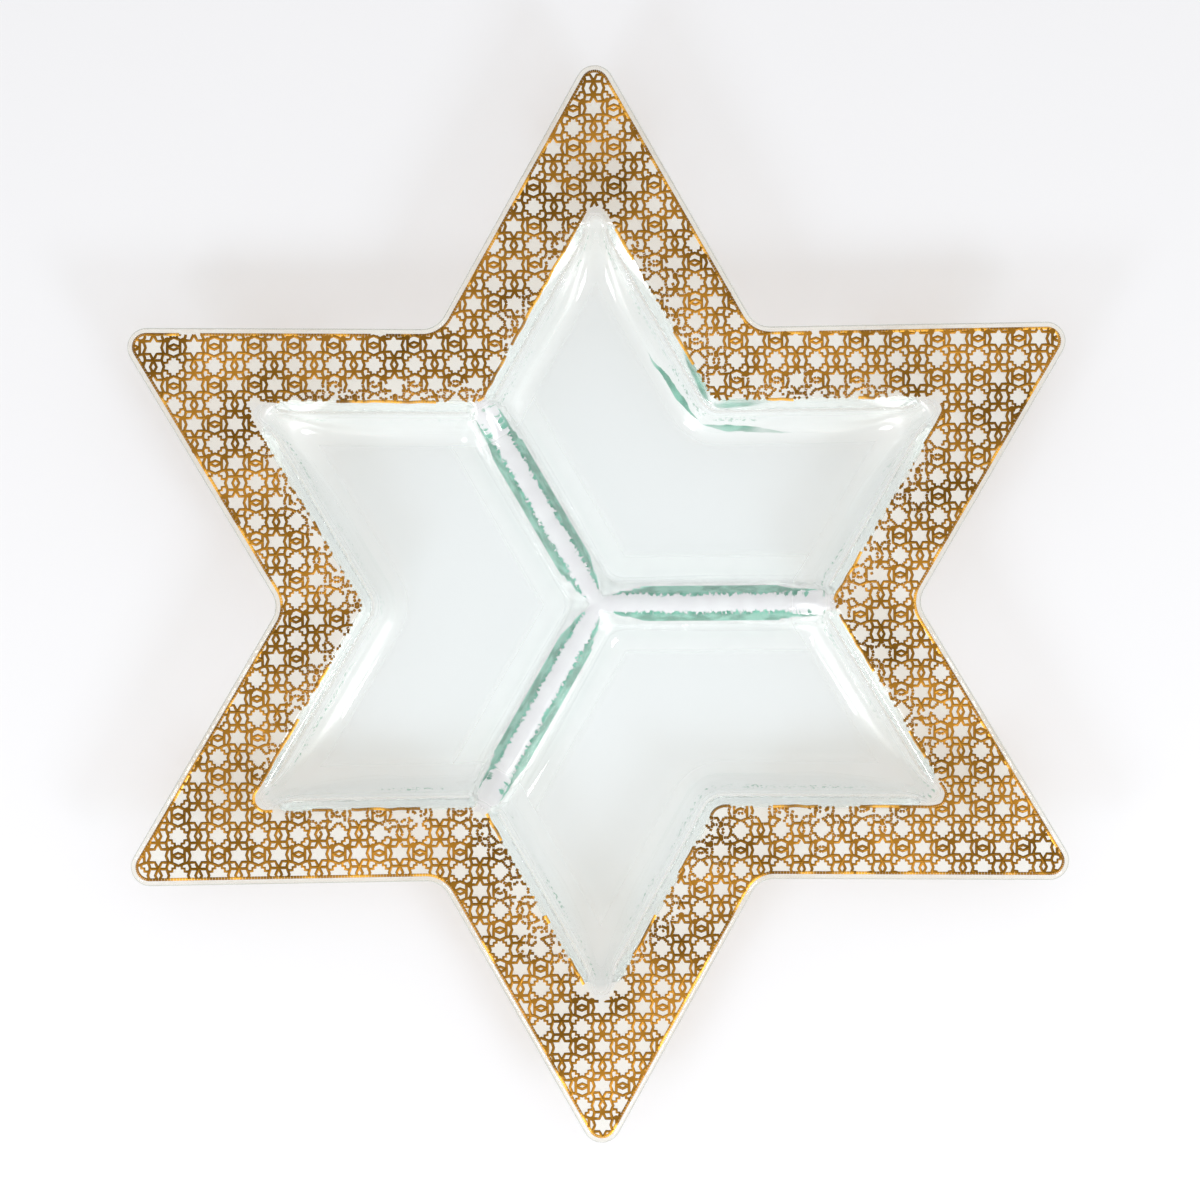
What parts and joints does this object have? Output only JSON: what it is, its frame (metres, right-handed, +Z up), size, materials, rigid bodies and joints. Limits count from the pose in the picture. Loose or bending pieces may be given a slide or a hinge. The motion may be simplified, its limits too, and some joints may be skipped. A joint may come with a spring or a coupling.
{
  "type": "star platter",
  "caption": "Star-shaped serving platter of clear slumped glass, with wells parted by raised dividers and a gold lattice print on its flat rim.",
  "frame": {"origin": "on the table under the middle of the star", "axes": "+Z up, +Y towards one tip of the star, +X along one divider"},
  "size_m": [0.3354, 0.3854, 0.0266],
  "materials": {
    "glass": "clear float glass with a faint green tint, slumped and fire-polished",
    "gold": "fired gold lustre, satin"
  },
  "bodies": {
    "root": {"glass_platter": "glass", "gold_print": "gold"}
  },
  "joints": []
}
